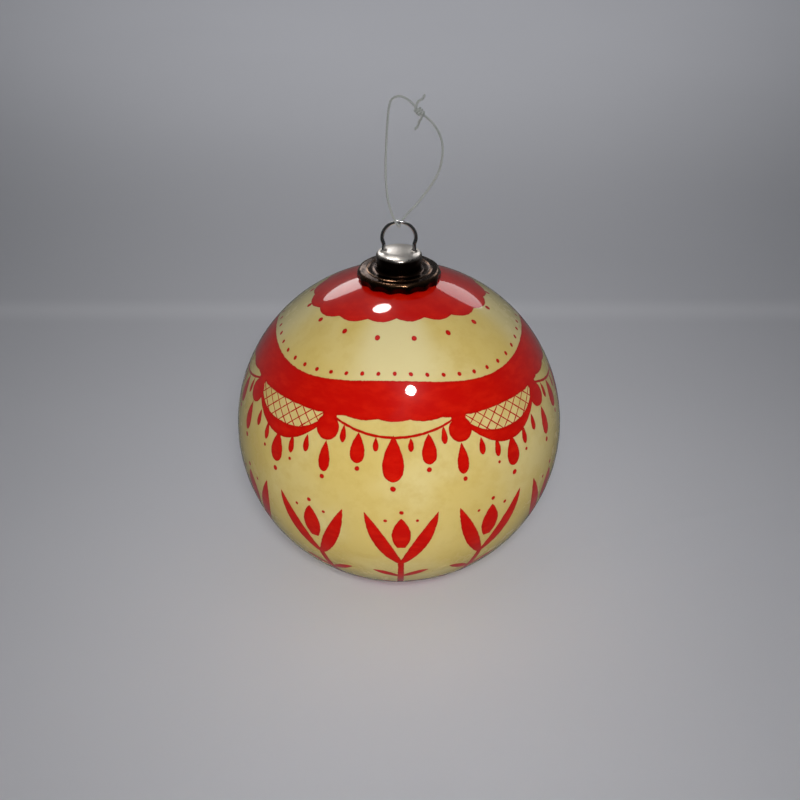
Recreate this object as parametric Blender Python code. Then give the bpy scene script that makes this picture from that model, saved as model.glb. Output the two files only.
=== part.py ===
# A hanging glass bauble: a hollow ball with a short neck, a pressed metal cap,
# a spring wire hanger and a knotted loop of thread. Metres, +Z up.
# The origin is the top of the thread loop, where a hook or a twig holds it.
# Heights in the functions below are first counted from the ball's centre.

import math

import bmesh
import bpy
from mathutils import Vector

# Glass ball
BALL_RADIUS = 0.040
GLASS_WALL = 0.0008
NECK_RADIUS = 0.0075
NECK_RISE = 0.0016
NECK_FILLET = 0.0006
BALL_SEGMENTS = 52
BALL_RINGS = 20

# Cap
CAP_RADIUS = 0.0100
CAP_WALL = 0.0005
CAP_ROUND = 0.0006
TURRET_RADIUS = 0.0055
TURRET_RISE = 0.0032
DOME_ANGLE = 20
FLUTE_COUNT = 14
FLUTE_DEPTH = 0.0005
SEGMENTS_PER_FLUTE = 4

# Wire hanger
WIRE_DIAMETER = 0.0009
LOOP_RADIUS = 0.0040
LOOP_STAND = 0.0028
LOOP_END_ANGLE = -25
LEG_DEPTH = 0.0110
LEG_FLARE = 0.0020

# Thread loop
THREAD_DIAMETER = 0.0006
THREAD_DROP = 0.0320
KNOT_RADIUS = 0.0011
KNOT_LENGTH = 0.0026
KNOT_FULLNESS = 0.6

# The gap that pieces which touch in life keep from each other
CLEARANCE = 0.0003

# How finely curves are divided
SHARP_DEGREES = 40
CURVE_STEPS = 24
WIRE_STEP = 1.1 * WIRE_DIAMETER
THREAD_STEP = 2.6 * THREAD_DIAMETER
HOLE_SEGMENTS = 12
KNOT_SEGMENTS = 12
KNOT_RINGS = 8


def clear_scene():
    for item in list(bpy.data.objects):
        bpy.data.objects.remove(item, do_unlink=True)


def finish_material(name, colour, roughness, metallic=0.0):
    material = bpy.data.materials.new(name)
    material.use_nodes = True
    shader = material.node_tree.nodes["Principled BSDF"]
    shader.inputs["Base Color"].default_value = (*colour, 1.0)
    shader.inputs["Roughness"].default_value = roughness
    shader.inputs["Metallic"].default_value = metallic
    return material


def add_object(name, data, material):
    data.materials.append(material)
    item = bpy.data.objects.new(name, data)
    bpy.context.collection.objects.link(item)
    return item


def arc(centre, radius, start, end, steps):
    """Points (r, z) on an arc, with its angles in degrees from +r towards +z."""
    points = []
    for i in range(steps + 1):
        angle = math.radians(start + (end - start) * i / steps)
        points.append((centre[0] + radius * math.cos(angle), centre[1] + radius * math.sin(angle)))
    return points


def spun_mesh(name, profile, segments):
    """Turns an outline that starts and ends on the axis into one closed mesh."""
    bm = bmesh.new()
    verts = [bm.verts.new((r, 0.0, z)) for r, z in profile]
    edges = [bm.edges.new(pair) for pair in zip(verts, verts[1:])]
    bmesh.ops.spin(
        bm,
        geom=verts + edges,
        cent=(0, 0, 0),
        axis=(0, 0, 1),
        angle=math.tau,
        steps=segments,
        use_merge=True,
    )
    bmesh.ops.remove_doubles(bm, verts=bm.verts, dist=1e-6)
    bmesh.ops.recalc_face_normals(bm, faces=bm.faces)
    mesh = bpy.data.meshes.new(name)
    bm.to_mesh(mesh)
    bm.free()
    mesh.shade_smooth()
    mesh.set_sharp_from_angle(angle=math.radians(SHARP_DEGREES))
    return mesh


def smooth_route(points, spacing, trim=0.0):
    """Even points on a smooth curve through the given ones, that stops short of both ends by trim."""
    route = [Vector(p) for p in points]
    padded = [2 * route[0] - route[1], *route, 2 * route[-1] - route[-2]]
    fine = []
    for a, b, c, d in zip(padded, padded[1:], padded[2:], padded[3:]):
        for i in range(CURVE_STEPS):
            t = i / CURVE_STEPS
            bend = (2 * a - 5 * b + 4 * c - d) * t**2 + (3 * b - a - 3 * c + d) * t**3
            fine.append(b + 0.5 * ((c - a) * t + bend))
    fine.append(route[-1])
    lengths = [0.0]
    for a, b in zip(fine, fine[1:]):
        lengths.append(lengths[-1] + (b - a).length)
    span = lengths[-1] - 2 * trim
    count = max(8, round(span / spacing))
    result, at = [], 0
    for i in range(count + 1):
        want = trim + span * i / count
        while at < len(fine) - 2 and lengths[at + 1] < want:
            at += 1
        share = (want - lengths[at]) / (lengths[at + 1] - lengths[at])
        result.append(fine[at].lerp(fine[at + 1], min(1.0, share)))
    return result


def tube(name, points, diameter, material):
    curve = bpy.data.curves.new(name, "CURVE")
    curve.dimensions = "3D"
    curve.bevel_depth = diameter / 2
    curve.bevel_resolution = 2
    curve.use_fill_caps = True
    spline = curve.splines.new("POLY")
    spline.points.add(len(points) - 1)
    for point, place in zip(spline.points, points):
        point.co = (*place, 1.0)
    return add_object(name, curve, material)


def ball_height(radius):
    """How high the ball's surface is above its centre, at a distance from the axis."""
    return math.sqrt(BALL_RADIUS**2 - radius**2)


# Heights above the ball's centre, each worked out from the piece below it
NECK_TOP = ball_height(NECK_RADIUS) + NECK_RISE
CAP_UNDERSIDE = NECK_TOP + CLEARANCE
OUTER_ROUND = CAP_ROUND + CAP_WALL
TURRET_SHOULDER = CAP_UNDERSIDE + CAP_WALL + TURRET_RISE
DOME_EDGE = TURRET_RADIUS - OUTER_ROUND + OUTER_ROUND * math.sin(math.radians(DOME_ANGLE))
DOME_RADIUS = DOME_EDGE / math.sin(math.radians(DOME_ANGLE))
DOME_CENTRE = TURRET_SHOULDER + (OUTER_ROUND - DOME_RADIUS) * math.cos(math.radians(DOME_ANGLE))
TURRET_TOP = DOME_CENTRE + DOME_RADIUS
LEG_HOLE_RADIUS = WIRE_DIAMETER / 2 + CLEARANCE
LEG_OFFSET = TURRET_RADIUS - OUTER_ROUND - LEG_HOLE_RADIUS
LOOP_CENTRE = TURRET_TOP + LOOP_STAND
THREAD_SEAT = LOOP_CENTRE + LOOP_RADIUS - WIRE_DIAMETER / 2 - CLEARANCE - THREAD_DIAMETER / 2
LOOP_TOP = THREAD_SEAT + THREAD_DROP


def make_ball(material):
    """The glass: up the inside from the bottom to the rim, then down the outside."""
    inner_radius = BALL_RADIUS - GLASS_WALL
    bore = NECK_RADIUS - GLASS_WALL
    lip = GLASS_WALL / 4
    shoulder = ball_height(NECK_RADIUS + NECK_FILLET)
    throat = math.sqrt(inner_radius**2 - (bore + NECK_FILLET) ** 2)
    inner_angle = math.degrees(math.asin(throat / inner_radius))
    outer_angle = math.degrees(math.asin(shoulder / BALL_RADIUS))
    profile = [(0.0, -inner_radius)]
    profile += arc((0, 0), inner_radius, -90, inner_angle, BALL_RINGS)[1:]
    profile += [
        (bore, throat + NECK_FILLET),
        (bore, NECK_TOP - lip),
        (bore + lip, NECK_TOP),
        (NECK_RADIUS - lip, NECK_TOP),
        (NECK_RADIUS, NECK_TOP - lip),
        (NECK_RADIUS, shoulder + NECK_FILLET),
    ]
    profile += arc((0, 0), BALL_RADIUS, outer_angle, -90, BALL_RINGS)[:-1]
    profile += [(0.0, -BALL_RADIUS)]
    ball = add_object("glass_ball", spun_mesh("glass_ball", profile, BALL_SEGMENTS), material)
    ball.location.z = -LOOP_TOP
    return ball


def cap_path():
    """The cap's outside as (r, z), from the middle of its top to the skirt's foot."""
    cap_top = CAP_UNDERSIDE + CAP_WALL
    foot = ball_height(CAP_RADIUS - FLUTE_DEPTH - CAP_WALL) + CLEARANCE
    path = [(0.0, TURRET_TOP)]
    path += arc((0, DOME_CENTRE), DOME_RADIUS, 90, 90 - DOME_ANGLE, 3)[1:-1]
    path += arc((TURRET_RADIUS - OUTER_ROUND, TURRET_SHOULDER), OUTER_ROUND, 90 - DOME_ANGLE, 0, 3)
    path += arc((TURRET_RADIUS + CAP_ROUND, cap_top + CAP_ROUND), CAP_ROUND, 180, 270, 2)
    path += arc((CAP_RADIUS - OUTER_ROUND, cap_top - OUTER_ROUND), OUTER_ROUND, 90, 0, 3)
    path += [(CAP_RADIUS, foot)]
    return path


def offset_inwards(path, distance):
    """The same path moved inwards by a wall's thickness, corner by corner."""
    moved = []
    for i, (r, z) in enumerate(path):
        before = Vector((r - path[i - 1][0], z - path[i - 1][1])) if i else None
        after = Vector((path[i + 1][0] - r, path[i + 1][1] - z)) if i + 1 < len(path) else None
        sides = [Vector((step.y, -step.x)).normalized() for step in (before, after) if step is not None]
        normal = (sides[0] + sides[-1]).normalized() if r > 0 else Vector((0.0, -1.0))
        reach = distance / normal.dot(sides[0])
        moved.append((r + normal.x * reach, z + normal.y * reach))
    return moved


def make_cap(material):
    """A thin pressed shell whose skirt is drawn into flutes towards its foot."""
    outside = cap_path()
    inside = offset_inwards(outside, CAP_WALL)
    mesh = spun_mesh("cap", [*outside, *inside[::-1]], FLUTE_COUNT * SEGMENTS_PER_FLUTE)
    shoulder = CAP_UNDERSIDE + CAP_WALL
    foot = outside[-1][1]
    for vertex in mesh.vertices:
        radius = math.hypot(vertex.co.x, vertex.co.y)
        depth = (shoulder - vertex.co.z) / (shoulder - foot)
        if radius > TURRET_RADIUS and depth > 0:
            wave = 0.5 - 0.5 * math.cos(FLUTE_COUNT * math.atan2(vertex.co.y, vertex.co.x))
            shrink = 1 - FLUTE_DEPTH * wave * min(1.0, depth) / radius
            vertex.co.x *= shrink
            vertex.co.y *= shrink
    cap = add_object("cap", mesh, material)
    cap.location.z = -LOOP_TOP
    for side in (-1, 1):
        cut_leg_hole(cap, side)
    return cap


def cut_leg_hole(cap, side):
    """Pierces the turret's top where a leg of the wire goes through."""
    bm = bmesh.new()
    radius = LEG_HOLE_RADIUS
    bmesh.ops.create_cone(
        bm, cap_ends=True, segments=HOLE_SEGMENTS, radius1=radius, radius2=radius, depth=TURRET_RISE
    )
    mesh = bpy.data.meshes.new("leg_hole")
    bm.to_mesh(mesh)
    bm.free()
    cutter = bpy.data.objects.new("leg_hole", mesh)
    bpy.context.collection.objects.link(cutter)
    cutter.location = (side * LEG_OFFSET, 0, TURRET_TOP - LOOP_TOP)
    cutter.hide_render = True
    cutter.display_type = "WIRE"
    cut = cap.modifiers.new("leg hole", "BOOLEAN")
    cut.operation = "DIFFERENCE"
    cut.object = cutter


def hanger_half():
    """One half of the wire as (x, z): from the loop's top down to the leg's end."""
    bore = NECK_RADIUS - GLASS_WALL - CLEARANCE - WIRE_DIAMETER / 2
    half = arc((0, LOOP_CENTRE), LOOP_RADIUS, 90, LOOP_END_ANGLE, 6)
    half += [
        (LEG_OFFSET, TURRET_TOP),
        (LEG_OFFSET, TURRET_SHOULDER),
        ((LEG_OFFSET + bore) / 2, CAP_UNDERSIDE),
        (bore, NECK_TOP - LEG_DEPTH / 3),
        (bore + LEG_FLARE, NECK_TOP - LEG_DEPTH),
    ]
    return half


def make_hanger(material):
    half = hanger_half()
    left = [(-x, 0.0, z - LOOP_TOP) for x, z in half[::-1]]
    right = [(x, 0.0, z - LOOP_TOP) for x, z in half[1:]]
    points = smooth_route(left + right, WIRE_STEP)
    return tube("wire_hanger", points, WIRE_DIAMETER, material)


# The thread's route in metres, from the knot over the top, down and to the wire loop, as
# (x, y, below the top), and on from the wire loop back up to the knot. Where it turns
# under the wire, its height is counted from the seat, the lowest point of the thread.
ROUTE_DOWN = [
    (0.0046, 0.0000, 0.0036),
    (0.0033, 0.0000, 0.0020),
    (0.0017, 0.0000, 0.0006),
    (0.0000, 0.0000, 0.0000),
    (-0.0015, 0.0000, 0.0006),
    (-0.0022, -0.0001, 0.0021),
    (-0.0027, -0.0003, 0.0065),
    (-0.0030, -0.0006, 0.0125),
    (-0.0031, -0.0009, 0.0185),
]
ROUTE_TURN = [
    (-0.0027, -0.0013, 0.0080),
    (-0.0018, -0.0015, 0.0042),
    (-0.0007, -0.0013, 0.0014),
    (0.0000, -0.0007, 0.0003),
    (0.0001, 0.0000, 0.0000),
    (0.0003, 0.0007, 0.0003),
    (0.0010, 0.0013, 0.0013),
    (0.0026, 0.0015, 0.0032),
    (0.0047, 0.0014, 0.0057),
]
ROUTE_UP = [
    (0.0084, 0.0011, 0.0206),
    (0.0099, 0.0008, 0.0160),
    (0.0099, 0.0005, 0.0112),
    (0.0081, 0.0002, 0.0070),
    (0.0046, 0.0000, 0.0036),
]


def thread_route():
    """The whole of the thread's middle line, from the knot's middle back to the knot's middle."""
    down = [(x, y, -drop) for x, y, drop in ROUTE_DOWN]
    turn = [(x, y, height - THREAD_DROP) for x, y, height in ROUTE_TURN]
    up = [(x, y, -drop) for x, y, drop in ROUTE_UP]
    return down + turn + up


def make_thread(material):
    bare = KNOT_LENGTH / 2 + CLEARANCE
    points = smooth_route(thread_route(), THREAD_STEP, bare)
    return tube("thread_loop", points, THREAD_DIAMETER, material)


def make_knot(material):
    """A small barrel in line with the thread, between the thread's two ends."""
    route = thread_route()
    profile = [(0.0, KNOT_LENGTH / 2)]
    for i in range(1, KNOT_RINGS):
        along = math.pi * i / KNOT_RINGS
        profile.append((KNOT_RADIUS * math.sin(along) ** KNOT_FULLNESS, KNOT_LENGTH / 2 * math.cos(along)))
    profile.append((0.0, -KNOT_LENGTH / 2))
    knot = add_object("thread_knot", spun_mesh("thread_knot", profile, KNOT_SEGMENTS), material)
    knot.location = route[0]
    along_thread = Vector(route[1]) - Vector(route[-2])
    knot.rotation_euler = along_thread.to_track_quat("Z", "Y").to_euler()
    return knot


def main():
    clear_scene()
    make_ball(finish_material("lacquered glass", (0.60, 0.45, 0.17), 0.15))
    make_cap(finish_material("dark bronze", (0.05, 0.03, 0.02), 0.25, 1.0))
    make_hanger(finish_material("bright wire", (0.70, 0.70, 0.72), 0.15, 1.0))
    thread = finish_material("thread", (0.45, 0.47, 0.46), 0.4)
    make_thread(thread)
    make_knot(thread)


main()
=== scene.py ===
# A hanging glass bauble: a lacquered ball with a painted red ornament, a pressed cap,
# a sprung wire hanger and a knotted loop of thread. Lengths are metres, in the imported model's frame.

import math
from types import SimpleNamespace

import bmesh
import bpy
import numpy as np
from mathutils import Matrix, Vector


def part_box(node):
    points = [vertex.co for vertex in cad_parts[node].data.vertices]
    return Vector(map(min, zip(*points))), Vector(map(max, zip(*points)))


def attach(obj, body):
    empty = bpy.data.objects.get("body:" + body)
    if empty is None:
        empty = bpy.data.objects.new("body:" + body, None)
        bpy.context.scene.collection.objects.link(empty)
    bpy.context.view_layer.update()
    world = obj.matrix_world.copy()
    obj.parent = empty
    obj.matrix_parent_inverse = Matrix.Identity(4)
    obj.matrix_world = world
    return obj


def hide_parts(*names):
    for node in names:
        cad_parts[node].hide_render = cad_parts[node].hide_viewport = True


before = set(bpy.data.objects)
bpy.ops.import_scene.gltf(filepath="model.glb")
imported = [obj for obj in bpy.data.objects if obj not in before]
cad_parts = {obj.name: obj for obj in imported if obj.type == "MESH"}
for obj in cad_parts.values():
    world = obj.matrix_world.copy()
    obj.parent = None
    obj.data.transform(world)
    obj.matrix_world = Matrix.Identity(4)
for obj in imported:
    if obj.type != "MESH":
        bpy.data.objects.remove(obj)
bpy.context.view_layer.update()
print("frame loaded:", sorted(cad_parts))

mm = 0.001

# The glass comes first, because the camera, the cap and the wire are all placed from it
ballSet = {
    "radius": 40 * mm,
    "wall": 0.8 * mm,
    "neckRadius": 7.5 * mm,
    "neckRise": 1.6 * mm,
    "neckRound": 0.6 * mm,
    "segments": 440,
    "outerRings": 178,
    "innerRings": 20,
    "bakeShareInside": 0.10,  # of the baked picture's height
}
ballMiddle = Vector((0, 0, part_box("glass_ball")[0].z + ballSet["radius"]))


# Camera

cameraSet = {
    "lens": 85,
    "distance": 471 * mm,  # from the ball's middle
    "lookDown": 29,  # degrees
    "shiftUp": 0.0260,  # the ball sits a little below the picture's middle
    "shiftRight": 0.00125,
    "nearest": 10 * mm,
}


def aimed(place, target):
    return (Vector(target) - Vector(place)).to_track_quat("-Z", "Y").to_euler()


def makeCamera():
    s = cameraSet
    tilt = math.radians(s["lookDown"])
    lens = bpy.data.cameras.new("camera")
    lens.lens = s["lens"]
    lens.shift_x, lens.shift_y = s["shiftRight"], s["shiftUp"]
    lens.clip_start = s["nearest"]
    camera = bpy.data.objects.new("camera", lens)
    bpy.context.collection.objects.link(camera)
    camera.location = ballMiddle + s["distance"] * Vector((0, -math.cos(tilt), math.sin(tilt)))
    camera.rotation_euler = aimed(camera.location, ballMiddle)
    bpy.context.scene.camera = camera


makeCamera()
print("camera placed")


# Nodes for the materials

def feed(tree, socket, value):
    if isinstance(value, bpy.types.NodeSocket):
        tree.links.new(value, socket)
    elif value is not None:
        socket.default_value = value


def mathsIn(tree):  # m("ADD", a, b) puts a Math node in the tree and gives its outcome
    def m(operation, *values, clamp=False):
        made = tree.nodes.new("ShaderNodeMath")
        made.operation = operation
        made.use_clamp = clamp
        for socket, value in zip(made.inputs, values):
            feed(tree, socket, value)
        return made.outputs[0]

    return m


def hypotenuse(m, a, b):
    return m("SQRT", m("ADD", m("MULTIPLY", a, a), m("MULTIPLY", b, b)))


def split(tree, vector):  # into x, y and z
    made = tree.nodes.new("ShaderNodeSeparateXYZ")
    tree.links.new(vector, made.inputs[0])
    return made.outputs


def ramped(tree, value, low, high, soft="SMOOTHSTEP", to=(0.0, 1.0)):
    made = tree.nodes.new("ShaderNodeMapRange")
    made.interpolation_type = soft
    for title, number in (("Value", value), ("From Min", low), ("From Max", high)):
        feed(tree, made.inputs[title], number)
    made.inputs["To Min"].default_value, made.inputs["To Max"].default_value = to
    return made.outputs[0]


def mixed(tree, share, *colours):
    made = tree.nodes.new("ShaderNodeMix")
    made.data_type = "RGBA"
    feed(tree, made.inputs[0], share)
    for socket, colour in zip(made.inputs[6:8], colours):  # the two that take colours
        feed(tree, socket, colour if isinstance(colour, bpy.types.NodeSocket) else (*colour, 1))
    return made.outputs[2]


def noisy(tree, place, scale, detail=3.0, roughness=0.5, stretch=(1, 1, 1)):
    if stretch != (1, 1, 1):
        mapping = tree.nodes.new("ShaderNodeMapping")
        mapping.inputs["Scale"].default_value = stretch
        tree.links.new(place, mapping.inputs["Vector"])
        place = mapping.outputs[0]
    made = tree.nodes.new("ShaderNodeTexNoise")
    made.inputs["Scale"].default_value = scale
    made.inputs["Detail"].default_value = detail
    made.inputs["Roughness"].default_value = roughness
    tree.links.new(place, made.inputs["Vector"])
    return made.outputs["Fac"]


def raised(tree, height, distance, strength=1.0, below=None):
    made = tree.nodes.new("ShaderNodeBump")
    made.inputs["Distance"].default_value = distance
    made.inputs["Strength"].default_value = strength
    feed(tree, made.inputs["Height"], height)
    feed(tree, made.inputs["Normal"], below)
    return made.outputs[0]


def newMaterial(name, **values):
    material = bpy.data.materials.new(name)
    material.use_nodes = True
    tree = material.node_tree
    shader = tree.nodes["Principled BSDF"]
    for title, value in values.items():
        shader.inputs[title.replace("_", " ")].default_value = value
    return material, tree, shader, tree.nodes.new("ShaderNodeTexCoord").outputs["Object"]


# Meshes

def lengthsOf(path):  # how far along the path each of its points is
    return np.concatenate([[0.0], np.cumsum(np.linalg.norm(np.diff(path, axis=0), axis=1))])


def pointsAt(path, along, wanted):
    return np.stack([np.interp(wanted, along, path[:, k]) for k in range(3)], 1)


def smoothRoute(points, spacing, trim=0.0, steps=24):  # a smooth curve, evenly divided
    given = np.array(points, float)
    padded = np.vstack([2 * given[0] - given[1], given, 2 * given[-1] - given[-2]])
    t = np.arange(steps)[:, None] / steps
    fine = []
    for a, b, c, d in zip(padded, padded[1:], padded[2:], padded[3:]):
        bend = (2 * a - 5 * b + 4 * c - d) * t**2 + (3 * b - a - 3 * c + d) * t**3
        fine.append(b + 0.5 * ((c - a) * t + bend))
    fine = np.vstack([*fine, given[-1:]])
    along = lengthsOf(fine)
    count = max(8, round((along[-1] - 2 * trim) / spacing))
    return pointsAt(fine, along, np.linspace(trim, along[-1] - trim, count + 1))


def arcPoints(middle, radius, start, end, steps):  # (r, z), angles in degrees from +r towards +z
    turn = np.radians(np.linspace(start, end, steps + 1))
    return [(middle[0] + radius * math.cos(a), middle[1] + radius * math.sin(a)) for a in turn]


def ringFaces(rings, sides):  # from ring to ring, then fans to the two points that follow the rings
    faces = []
    for j in range(rings - 1):
        for k in range(sides):
            n = (k + 1) % sides
            faces.append((j * sides + k, j * sides + n, (j + 1) * sides + n, (j + 1) * sides + k))
    last = (rings - 1) * sides
    for k in range(sides):
        n = (k + 1) % sides
        faces += [(n, k, rings * sides), (last + k, last + n, rings * sides + 1)]
    return faces


# A round rod with round ends, or a twisted one when it has plies
def strand(path, radius, sides, plies=0, plyDepth=0.0, lay=1.0):
    along = lengthsOf(path)
    whole = along[-1]
    endTurns = np.radians(np.arange(10, 90, 15))  # up the round ends
    endSteps = radius * (1 - np.cos(endTurns))
    stations = np.unique(np.round(np.concatenate([along[1:-1], endSteps, whole - endSteps]), 9))
    places = pointsAt(path, along, stations)
    ahead = np.gradient(places, axis=0)
    ahead /= np.linalg.norm(ahead, axis=1)[:, None]
    side = np.cross(ahead[0], (0.3, 0.5, 0.8))  # any way across will do for a start
    angle = np.arange(sides) * math.tau / sides
    grooves = 1 - plyDepth * (0.5 - 0.5 * np.cos(plies * angle))
    rings = []
    for place, direction, station in zip(places, ahead, stations):
        side = side - direction * (side @ direction)
        side /= np.linalg.norm(side)
        near = min(1.0, min(station, whole - station) / radius)
        width = radius * math.sqrt(1 - (1 - near) ** 2) * grooves
        twisted = angle + math.tau * station / lay * (plies > 0)
        across = np.cos(twisted)[:, None] * side + np.sin(twisted)[:, None] * np.cross(direction, side)
        rings.append(place + width[:, None] * across)
    return np.vstack([*rings, path[:1], path[-1:]]), ringFaces(len(rings), sides)


# An outline (r, z) from the axis back to the axis, turned into a closed mesh;
# the bands tell which stretch of the outline each face comes from
def turned(profile, segments):
    r, z = np.array(profile[1:-1]).T
    angle = np.arange(segments) * math.tau / segments
    around = np.stack([np.cos(angle), np.sin(angle)], 1)
    heights = np.repeat(z, segments).reshape(len(z), -1, 1)
    verts = np.concatenate([r[:, None, None] * around[None], heights], 2)
    verts = np.vstack([verts.reshape(-1, 3), (0, 0, profile[0][1]), (0, 0, profile[-1][1])])
    bands = [j for j in range(len(r) - 1) for k in range(segments)] + [-1, len(r) - 1] * segments
    return verts, ringFaces(len(r), segments), bands


def addPiece(name, parts, materials, place=(0, 0, 0), sharp=None):  # parts are (verts, faces) pairs
    verts, faces = [], []
    for partVerts, partFaces in parts:
        faces += [tuple(i + len(verts) for i in face) for face in partFaces]
        verts += [tuple(v) for v in partVerts]
    mesh = bpy.data.meshes.new(name)
    mesh.from_pydata(verts, [], faces)
    for material in materials:
        mesh.materials.append(material)
    mesh.shade_smooth()
    if sharp:
        mesh.set_sharp_from_angle(angle=math.radians(sharp))
    piece = bpy.data.objects.new(name, mesh)
    piece.location = place
    bpy.context.collection.objects.link(piece)
    return piece


def setIn(piece, slot, *nodes):
    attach(piece, "root")
    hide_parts(*nodes)


# Thread and its knot

threadSet = {
    "diameter": 0.6 * mm,
    "drop": 32 * mm,  # from the top to the wire
    "plies": 3,
    "plyDepth": 0.26,  # how deep the grooves between the plies are, as a share of the radius
    "lay": 2.3 * mm,  # one whole turn of the twist
    "sides": 24,
    "step": 0.16 * mm,
    "knotLength": 2.6 * mm,
    "clearance": 0.3 * mm,  # between the loop's ends and the knot
    "wraps": 2.75,
    "wrapRadius": 0.64 * mm,
    "wrapWander": 0.03 * mm,  # a hand-tied turn isn't quite round
    "wanderRate": 2.3,  # waves of that to a turn
    "wrapMargin": 0.42 * mm,  # from the knot's end to the middle of its first turn
    "wrapPoints": 30,
    "colour": (0.50, 0.53, 0.52),
    "shade": (0.27, 0.29, 0.285),
    "fibreScale": 5200,
    "fibreHeight": 0.04 * mm,
    "patchScale": 420,
}
# From the knot over the top and down: x, y and how far below the top
routeDown = [
    (0.0046, 0.0000, 0.0036),
    (0.0033, 0.0000, 0.0020),
    (0.0017, 0.0000, 0.0006),
    (0.0000, 0.0000, 0.0000),
    (-0.0015, 0.0000, 0.0006),
    (-0.0022, -0.0001, 0.0021),
    (-0.0027, -0.0003, 0.0065),
    (-0.0030, -0.0006, 0.0125),
    (-0.0031, -0.0009, 0.0185),
]
# Round under the wire: x, y and how far above the lowest point
routeTurn = [
    (-0.0027, -0.0013, 0.0080),
    (-0.0018, -0.0015, 0.0042),
    (-0.0007, -0.0013, 0.0014),
    (0.0000, -0.0007, 0.0003),
    (0.0001, 0.0000, 0.0000),
    (0.0003, 0.0007, 0.0003),
    (0.0010, 0.0013, 0.0013),
    (0.0026, 0.0015, 0.0032),
    (0.0047, 0.0014, 0.0057),
]
# Back up to the knot: x, y and how far below the top
routeUp = [
    (0.0084, 0.0011, 0.0206),
    (0.0099, 0.0008, 0.0160),
    (0.0099, 0.0005, 0.0112),
    (0.0081, 0.0002, 0.0070),
    (0.0046, 0.0000, 0.0036),
]
# In the knot, from its middle, in millimetres: along the thread, sideways and over
coreRun = [
    (0.9, 0.0, 0.0),
    (0.0, 0.02, 0.0),
    (-0.8, 0.0, -0.02),
    (-1.25, -0.05, -0.28),
    (-1.62, -0.12, -0.85),
    (-1.9, -0.3, -1.7),
    (-2.5, -0.5, -2.7),
    (-2.7, -0.4, -3.9),
]
wrapStart = [(-1.28, 0.04, 0.24)]
wrapTail = [(1.25, -0.95, 0.35), (1.55, -1.2, 1.3), (1.4, -1.0, 2.4), (1.75, -1.2, 3.5)]


def threadMaterial():
    s = threadSet
    gloss = {"Roughness": 0.5, "Sheen_Weight": 0.35, "Sheen_Roughness": 0.4}
    material, tree, shader, place = newMaterial("silvery thread", **gloss)
    m = mathsIn(tree)
    fibres = noisy(tree, place, s["fibreScale"], 4.0, 0.6)
    patches = noisy(tree, place, s["patchScale"], 2.0)
    share = m("ADD", m("MULTIPLY", fibres, 0.75), m("MULTIPLY", patches, 0.35), clamp=True)
    feed(tree, shader.inputs["Base Color"], mixed(tree, share, s["shade"], s["colour"]))
    feed(tree, shader.inputs["Roughness"], ramped(tree, fibres, 0.3, 0.7, "LINEAR", (0.34, 0.62)))
    feed(tree, shader.inputs["Normal"], raised(tree, fibres, s["fibreHeight"], 0.6))
    return material


def threadRoute():  # it starts and ends in the knot's middle
    down = [(x, y, -drop) for x, y, drop in routeDown]
    turn = [(x, y, height - threadSet["drop"]) for x, y, height in routeTurn]
    return down + turn + [(x, y, -drop) for x, y, drop in routeUp]


def threadStrand(path):
    s = threadSet
    return strand(path, s["diameter"] / 2, s["sides"], s["plies"], s["plyDepth"], s["lay"])


def wrapTurns():  # round the core from one end of the knot to the other
    s = threadSet
    reach = s["knotLength"] / 2 - s["wrapMargin"]
    turns = []
    for t in np.linspace(0, 1, s["wrapPoints"]):
        turn = t * s["wraps"] * math.tau
        radius = s["wrapRadius"] + s["wrapWander"] * math.sin(s["wanderRate"] * turn)
        spot = (reach * (2 * t - 1), radius * math.sin(turn), radius * math.cos(turn))
        turns.append([length / mm for length in spot])
    return turns


def makeKnot(material, path):  # one end runs through, the other is wrapped round it, both leave a tail
    middle = np.array(threadRoute()[0])
    along = path[0] - path[-1]
    along /= np.linalg.norm(along)
    side = np.array((0.0, -1.0, 0.0))
    axes = np.stack([along, side, np.cross(along, side)]) * mm
    # both begin with two points of the loop's own ends, so that they run on from it
    core = [path[3], path[0], *(middle + np.array(coreRun) @ axes)]
    wrap = [path[-4], path[-1], *(middle + np.array(wrapStart + wrapTurns() + wrapTail) @ axes)]
    parts = [threadStrand(smoothRoute(points, threadSet["step"])) for points in (core, wrap)]
    knot = addPiece("tied_knot", parts, [material])
    setIn(knot, "thread", "thread_knot")
    return knot


def makeThread():
    s = threadSet
    material = threadMaterial()
    path = smoothRoute(threadRoute(), s["step"], s["knotLength"] / 2 + s["clearance"])
    thread = addPiece("twisted_thread", [threadStrand(path)], [material])
    setIn(thread, "thread", "thread_loop")
    knot = makeKnot(material, path)
    print("thread tied:", round(lengthsOf(path)[-1] / mm, 1), "mm of it")


makeThread()


# Painted ornament, laid out in degrees of longitude and latitude round the ball

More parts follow.
